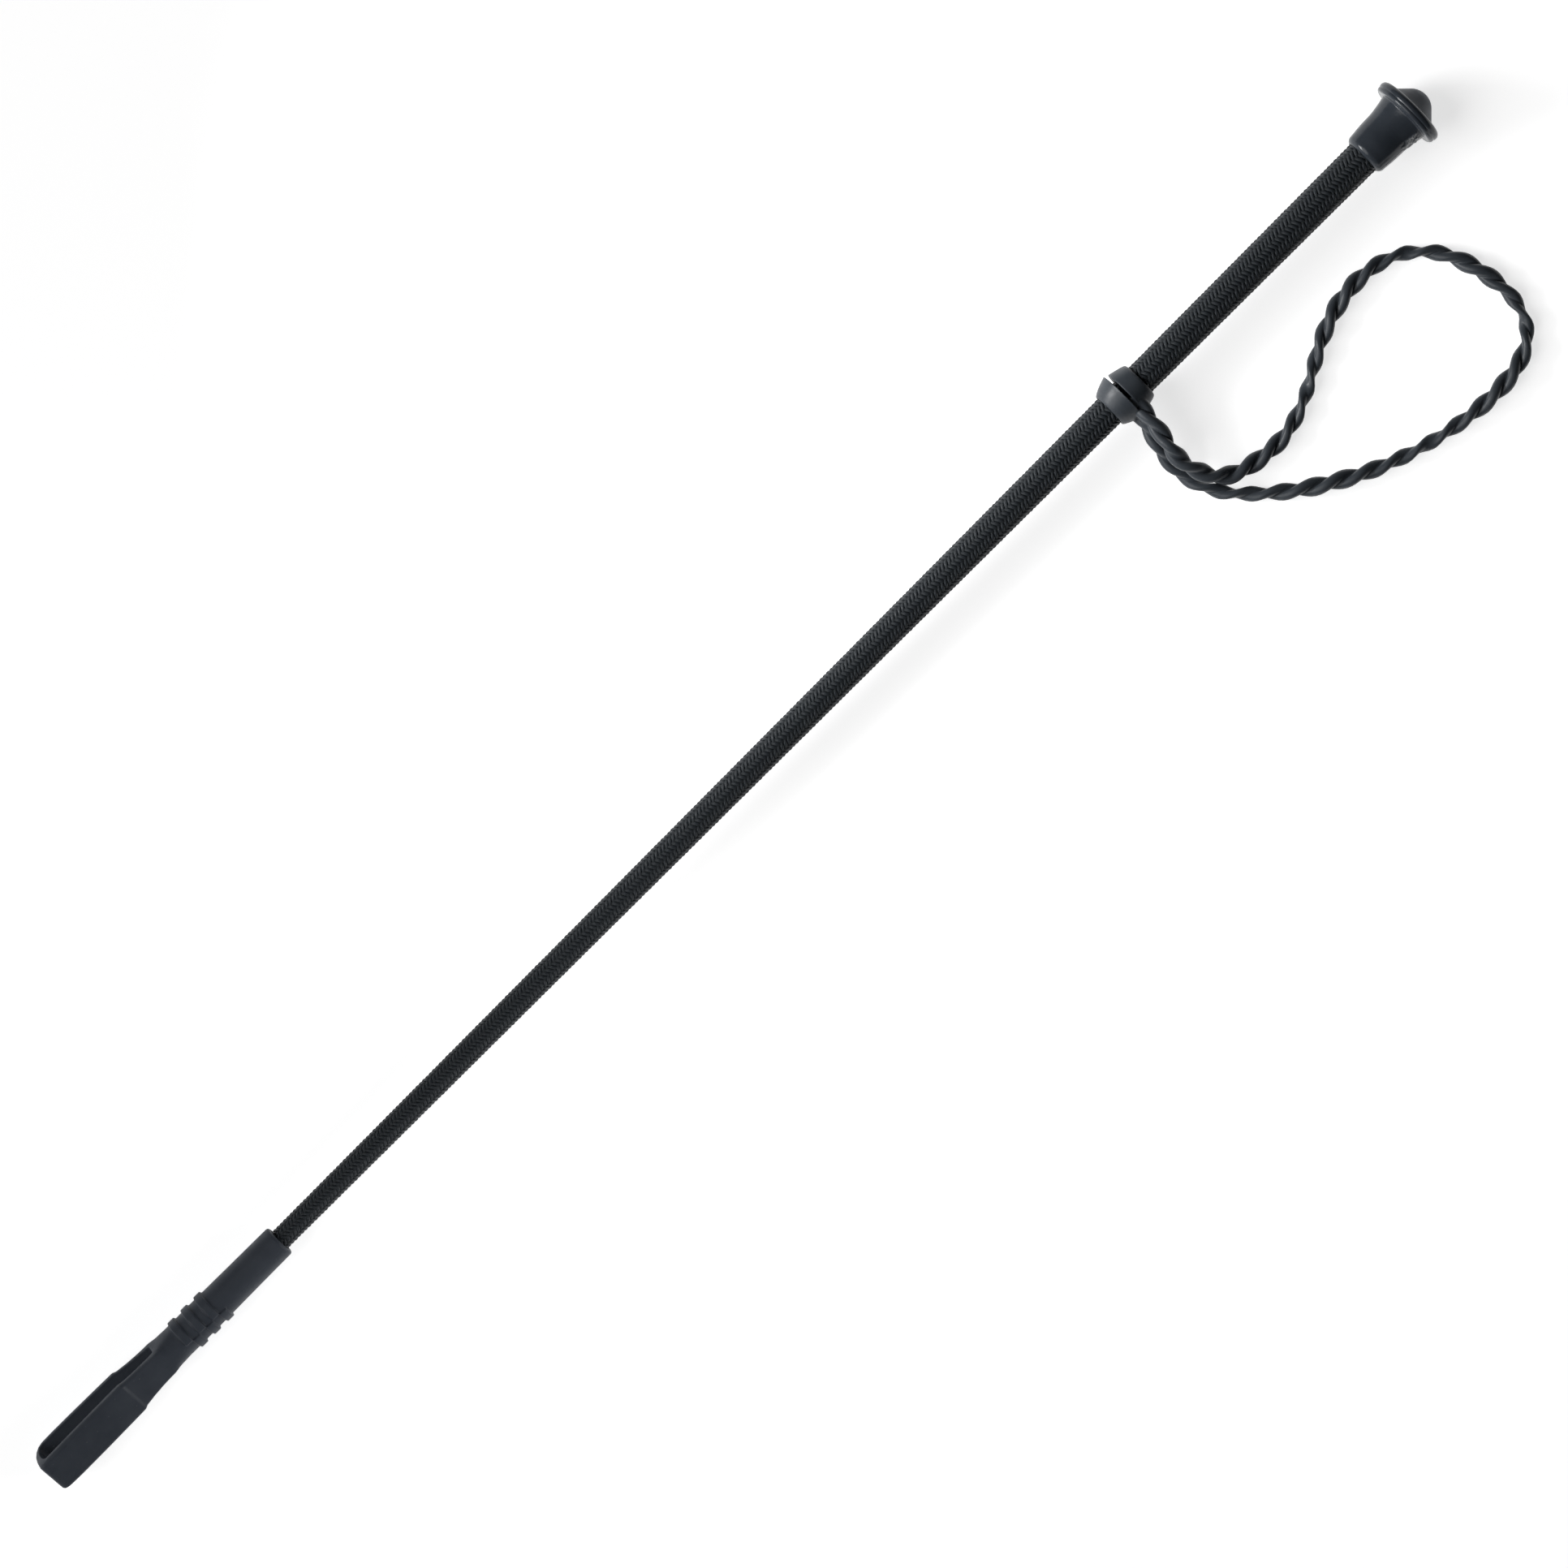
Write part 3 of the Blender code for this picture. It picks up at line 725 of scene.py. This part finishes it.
def ellipsoid(centre, radii, rows=16, sides=24):
    """A closed ball, stretched along its three axes."""
    points = []
    for i in range(rows + 1):
        tilt = math.pi * (i + 0.02) / (rows + 0.04)
        for j in range(sides):
            turn = math.tau * j / sides
            unit = (math.sin(tilt) * math.cos(turn), math.sin(tilt) * math.sin(turn), math.cos(tilt))
            points.append([c + r * u for c, r, u in zip(centre, radii, unit)])
    return points, tube_faces(rows + 1, sides)


def cut_apart(vertices, faces, x, keep_beyond):
    """The part of a mesh beyond x, or before it, with the cut closed, as a bmesh."""
    mesh = bpy.data.meshes.new("cut")
    mesh.from_pydata([tuple(v) for v in vertices], [], faces)
    work = bmesh.new()
    work.from_mesh(mesh)
    bpy.data.meshes.remove(mesh)
    geometry = work.verts[:] + work.edges[:] + work.faces[:]
    cut = bmesh.ops.bisect_plane(
        work,
        geom=geometry,
        plane_co=(x, 0, 0),
        plane_no=(1, 0, 0),
        clear_outer=not keep_beyond,
        clear_inner=keep_beyond,
    )
    rim = [e for e in cut["geom_cut"] if isinstance(e, bmesh.types.BMEdge)]
    bmesh.ops.triangle_fill(work, edges=rim, use_beauty=True)
    for edge in rim:
        if edge.is_valid:
            edge.smooth = False
    bmesh.ops.recalc_face_normals(work, faces=work.faces)
    return work


def from_work(name, work, material):
    """A smooth-shaded object from a bmesh in the crop's terms."""
    mesh = bpy.data.meshes.new(name)
    for face in work.faces:
        face.smooth = True
    work.to_mesh(mesh)
    work.free()
    points = np.empty(len(mesh.vertices) * 3)
    mesh.vertices.foreach_get("co", points)
    mesh.vertices.foreach_set("co", placed(points.reshape(-1, 3)).ravel())
    mesh.materials.append(material)
    mesh.update()
    piece = bpy.data.objects.new(name, mesh)
    bpy.context.scene.collection.objects.link(piece)
    return piece


def make_collar(material, world, reach):
    """The two flared rings, and the web that both ends of the strap grow out of, as one moulding.
    The rings turn on the shaft."""
    bore = braid_radius(COLLAR_MIDDLE) + 0.15
    upper = [(bore, 134.6), (6.35, 134.5), (6.85, 134.7), (7.25, 135.3), (7.55, 136.2)]
    upper += [(7.85, 137.3), (8.25, 138.9), (8.6, 140.3), (8.72, 140.9), (8.5, 141.05), (bore, 141.0)]
    lower = [(bore, 142.4), (8.9, 142.35), (9.35, 142.35), (9.1, 142.9), (8.75, 144.0)]
    lower += [(8.3, 145.3), (7.65, 146.9), (6.95, 148.2), (6.4, 149.0), (bore, 149.0)]
    bridge = sector(bore + 0.4, 8.35, 140.6, 142.8, 16, 164)
    web = ellipsoid((9.2, 1.6, 142.0), (4.6, 3.6, 2.2))
    start = in_crop(world)[:, 0] < STRAP_CUT + 2.0
    middle = len(world) // 2
    root_a = np.flatnonzero(start[:middle])
    root_b = middle + np.flatnonzero(start[middle:])
    stubs = []
    for chosen in (root_a, root_b):
        points, faces = strap_loft(world[chosen], reach[chosen])
        stubs.append((in_crop(points), faces))
    solids = [ring_of(resampled(upper, 0.6), 96), ring_of(resampled(lower, 0.6), 96)]
    vertices, faces = moulded(solids + [bridge, web] + stubs, 0.2, 4)
    work = cut_apart(vertices, faces, ROOT_CUT, False)
    rings = from_work("collar_rings", work, material)
    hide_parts("upper_ring", "lower_ring")
    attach(rings, "loop_collar")
    work = cut_apart(vertices, faces, ROOT_CUT, True)
    root = from_work("strap_web", work, material)
    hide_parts("strap_root")
    hinge = np.array(joints["loop_swing"]["pos_m"])
    start = hinge + SIDE * (ROOT_CUT * MM - hinge[0])
    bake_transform(root)
    return root


def make_strap(material, world, reach):
    """The free strap, from the web and back to it. Its ends are a little slimmer, inside the web."""
    beyond = np.flatnonzero(in_crop(world)[:, 0] > STRAP_CUT)
    chosen = np.arange(beyond[0], beyond[-1] + 1)
    path = world[chosen]
    from_end = np.minimum(np.arange(len(path)), np.arange(len(path))[::-1])
    slim = 0.045
    scale = 1 - slim + slim * np.clip(from_end / 3, 0, 1)
    vertices, faces = strap_loft(path, reach[chosen], scale)
    piece = mesh_object("wrist_strap", vertices, faces, material)
    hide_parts("loop_strap")
    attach(piece, "wrist_loop")
    return piece


# --------------------------------------------------------------------------- the keeper


def keeper_placed(points):
    """World metres of (towards the slot's side, towards the front, station) rows."""
    points = np.asarray(points, float) * MM
    return CAP_TOP + points[:, :1] * SLOT_SIDE + points[:, 1:2] * FRONT - points[:, 2:3] * ALONG


def superellipse(half_width, half_depth, power, count):
    """Points round an ellipse for power 2, nearer to a rectangle for more."""
    angles = (np.arange(count) + 0.5) * math.tau / count
    cosines, sines = np.cos(angles), np.sin(angles)
    x = half_width * np.sign(cosines) * np.abs(cosines) ** (2 / power)
    y = half_depth * np.sign(sines) * np.abs(sines) ** (2 / power)
    return x, y


def ferrule_solid():
    """The ferrule's tube with its rounded mouth, closed above the end of the rod."""
    mouth = braid_radius(FERRULE_START) + BORE_GAP
    outside = arc(4.95, FERRULE_START + 0.9, 0.9, -85, 0, 6)
    outside += [(5.95, 555.0), (6.15, 575.0), (6.15, 587.5), (0.01, 587.5)]
    inside = [(0.01, 584.5), (2.6, 584.5), (2.6, 581.5), (mouth, 581.5), (mouth, FERRULE_START)]
    return ring_of(resampled(outside + inside, 1.0), 72)


def rib_solid(middle, side):
    """Half a rib, round one side of the ferrule."""
    half, outer, inner, corner = 1.45, 6.95, 5.6, 0.1
    section = [(inner, -half), (outer - corner, -half), (outer, -half + corner)]
    section += [(outer, half - corner), (outer - corner, half), (inner, half)]
    points = []
    count, end = 50, 88.5
    for a in np.radians(np.linspace(-end, end, count)):
        for radius, step in section:
            points.append((side * radius * math.cos(a), radius * math.sin(a), middle + step))
    return points, tube_faces(count, len(section))


def neck_solid():
    """The neck, round at the ferrule and square where the slot ends. The rows are station, half
    width, half depth and the power of the section's superellipse."""
    rows = [
        (583.5, 6.0, 6.0, 2.0),
        (587.5, 6.1, 6.1, 2.0),
        (590.0, 6.0, 5.88, 2.3),
        (592.5, 5.78, 5.5, 3.0),
        (594.5, 5.6, 5.25, 4.2),
        (596.4, 5.48, 5.12, 7.0),
    ]
    points, count = [], 48
    stations = np.linspace(rows[0][0], rows[-1][0], 40)
    columns = np.array(rows).T
    for s in stations:
        width, depth, power = (np.interp(s, columns[0], c) for c in columns[1:])
        x, y = superellipse(width, depth, power, count)
        points += [(a, b, s) for a, b in zip(x, y)]
    return points, tube_faces(len(stations), count)


def band_solid():
    """The flap's band: out along the front, over the fold and back along the back.

    The rows of leg and fold are the height and the station of the outer face, then of the inner. A
    section across the band has its edges rounded by inset and its outer face hollowed by saddle.
    """
    leg = [
        (3.6, 588.0, 1.6, 588.0),
        (4.7, 592.0, 2.0, 592.0),
        (5.12, 596.0, 2.2, 596.0),
        (5.04, 598.5, 2.4, 598.5),
        (5.06, 602.0, 2.7, 602.0),
        (5.25, 606.0, 3.0, 606.0),
        (5.52, 610.3, 3.3, 610.3),
        (5.92, 611.5, 3.4, 611.5),
        (6.25, 626.0, 3.8, 626.0),
        (6.5, 640.0, 4.1, 640.0),
        (6.5, 645.0, 4.15, 645.0),
    ]
    fold = [
        (6.5, 648.3, 4.05, 645.9),
        (6.15, 649.4, 3.75, 646.5),
        (5.3, 649.95, 3.1, 647.0),
        (3.0, 650.05, 1.8, 647.4),
        (0.5, 650.0, 0.3, 647.5),
        (-2.0, 649.6, -1.4, 647.4),
        (-4.2, 648.5, -2.8, 646.9),
        (-5.7, 646.8, -3.8, 645.9),
        (-6.4, 644.5, -4.15, 644.6),
    ]
    back = [(-outer, s, -inner, t) for outer, s, inner, t in reversed(leg[:-1])]
    widths_at = [588, 592, 596, 600, 606, 610.3, 611.6, 630, 642, 646.5, 650]
    widths = [3.8, 4.9, 5.4, 5.5, 5.85, 6.3, 6.75, 6.85, 6.8, 6.7, 6.3]
    across = np.array([-1.0, -0.96, -0.87, -0.45, 0.0, 0.45, 0.87, 0.96, 1.0])
    inset = np.array([1.1, 0.5, 0.12, 0.0, 0.0, 0.0, 0.12, 0.5, 1.1])
    rows = np.array(resampled(leg + fold + back, 1.2))
    outward = rows[:, :2] - rows[:, 2:]
    outward /= np.linalg.norm(outward, axis=1, keepdims=True)
    points = []
    for (outer, s, inner, t), (df, ds) in zip(rows, outward):
        saddle = 0.2 * ds * (1 - across**2)
        width = np.interp(s, widths_at, widths)
        for a, b, c in zip(across, inset, saddle):
            points.append((width * a, outer - df * b, s - ds * (b + c)))
        width = np.interp(t, widths_at, widths)
        points += [(width * a, inner, t) for a in across[::-1]]
    return points, tube_faces(len(rows), 2 * len(across))


def make_keeper(material):
    """Ferrule, ribs, neck and slotted flap, moulded as one piece."""
    solids = [ferrule_solid(), neck_solid(), band_solid()]
    for side, last in LAST_RIBS.items():
        solids += [rib_solid(last - RIB_PITCH * i, side) for i in range(RIBS)]
    vertices, faces = moulded(solids, 0.24, 3)
    past_ribs = np.maximum(0.0, vertices[:, 2] - 590.0)
    values = {"across": np.abs(vertices[:, 0]) + past_ribs}
    piece = mesh_object("keeper", keeper_placed(vertices), faces, material, values)
    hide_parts("keeper_ferrule", "keeper_flap")
    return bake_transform(piece)


# --------------------------------------------------------------------------- the studio


def make_camera():
    """Looks straight down; FRAME_WIDTH is seen at half the height of the shaft."""
    data = bpy.data.cameras.new("camera")
    data.sensor_width = SENSOR_WIDTH_MM
    data.lens = SENSOR_WIDTH_MM * (CAMERA_HEIGHT - CAP_TOP[2] / 2) / FRAME_WIDTH
    data.clip_end = 20.0
    camera = bpy.data.objects.new("camera", data)
    bpy.context.scene.collection.objects.link(camera)
    right = Vector((math.cos(CAMERA_ROLL), math.sin(CAMERA_ROLL), 0.0))
    camera.location = right * FRAME_SHIFT + Vector((0.0, 0.0, CAMERA_HEIGHT))
    camera.rotation_euler = (0.0, 0.0, CAMERA_ROLL)
    bpy.context.scene.camera = camera
    return camera


def make_table(material):
    half = TABLE_HALF
    corners = [(-half, -half, 0), (half, -half, 0), (half, half, 0), (-half, half, 0)]
    table = mesh_object("table", corners, [(0, 1, 2, 3)], material)
    table.location.z = -TABLE_DROP
    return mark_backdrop(table)


def aimed(light, position, target):
    """Adds a light that shines from the position to the target."""
    light.location = position
    turn = (Vector(position) - Vector(target)).to_track_quat("Z", "Y")
    light.rotation_euler = turn.to_euler()
    bpy.context.scene.collection.objects.link(light)


def softbox(name, position, target, size, watts):
    """A box light with a grid in front, so that it lights one end of the crop."""
    data = bpy.data.lights.new(name, "AREA")
    data.shape = "RECTANGLE"
    data.size, data.size_y = size
    data.energy = watts
    data.spread = math.radians(110)
    aimed(bpy.data.objects.new(name, data), position, target)


def make_sky():
    """A faint grey light from all round, least from overhead and most from low down at the keeper's
    end, in front of a pale backdrop."""
    world = bpy.data.worlds.new("studio")
    world.use_nodes = True
    nodes, links = world.node_tree.nodes, world.node_tree.links
    lean = nodes.new("ShaderNodeVectorMath")
    lean.operation = "DOT_PRODUCT"
    lean.inputs[1].default_value = (-0.2, -0.35, -0.55)
    links.new(nodes.new("ShaderNodeTexCoord").outputs["Generated"], lean.inputs[0])
    level = nodes.new("ShaderNodeMapRange")
    level.inputs["From Min"].default_value = -0.65
    level.inputs["From Max"].default_value = 0.4
    level.inputs["To Min"].default_value = 0.006
    level.inputs["To Max"].default_value = 0.051
    links.new(lean.outputs["Value"], level.inputs["Value"])
    backdrop = nodes.new("ShaderNodeMath")
    backdrop.operation = "MULTIPLY_ADD"
    backdrop.inputs[1].default_value = 0.8
    links.new(nodes.new("ShaderNodeLightPath").outputs["Is Camera Ray"], backdrop.inputs[0])
    links.new(level.outputs["Result"], backdrop.inputs[2])
    nodes["Background"].inputs["Color"].default_value = (1.0, 1.0, 1.0, 1.0)
    links.new(backdrop.outputs["Value"], nodes["Background"].inputs["Strength"])
    bpy.context.scene.world = world


def make_studio():
    """A large window at the keeper's end, a small soft box for each end of the crop, and the sky."""
    make_sky()
    sun = bpy.data.lights.new("window", "SUN")
    sun.angle = math.radians(50)
    sun.energy = 1.5
    aimed(bpy.data.objects.new("window", sun), (-0.4, -0.9, 0.8), (0, 0, 0))
    size = (0.16, 0.11)
    softbox("handle box", (-0.24, -0.02, 0.18), (0.02, 0.22, 0.0), size, watts=0.38)
    softbox("keeper box", (0.22, -0.06, 0.16), (0.0, -0.28, 0.0), size, watts=0.17)
    bpy.context.scene.view_settings.view_transform = "Standard"


def main():
    make_camera()
    strap_rubber = rubber_material(
        "strap_rubber",
        dark=(0.040, 0.047, 0.056),
        light=(0.052, 0.060, 0.070),
        roughness=0.38,
        grain=0.000016,
    )
    cap_rubber = rubber_material(
        "cap_rubber",
        dark=(0.030, 0.036, 0.045),
        light=(0.039, 0.046, 0.056),
        roughness=0.19,
        grain=0.000003,
        # The dome's colour is lightened partly as painted light, and the flash is painted lighter as
        # a painted highlight.
        satin="dome",
        painted_glint="flash",
    )
    keeper_rubber = rubber_material(
        "keeper_rubber",
        dark=(0.036, 0.043, 0.056),
        light=(0.045, 0.053, 0.067),
        roughness=0.55,
        grain=0.000012,
        dust=0.4,
        parting=True,
    )
    world, reach = strap_line()
    root = make_collar(strap_rubber, world, reach)
    make_strap(strap_rubber, world, reach)
    thread = thread_material()
    one_way = braid_yarns("braid_yarns_one_way", 1, thread)
    braid_yarns("braid_yarns_other_way", -1, thread)
    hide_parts("braided_cover")
    make_cap(cap_rubber)
    make_keeper(keeper_rubber)
    for node, material in (
        ("core_rod", rod_material()),
        ("taper_padding", padding_material()),
        ("butt_whipping", thread),
        ("tip_whipping", thread),
    ):
        mesh = frame["nodes"][node].data
        mesh.materials.clear()
        mesh.materials.append(material)
    make_table(table_material())
    make_studio()


main()
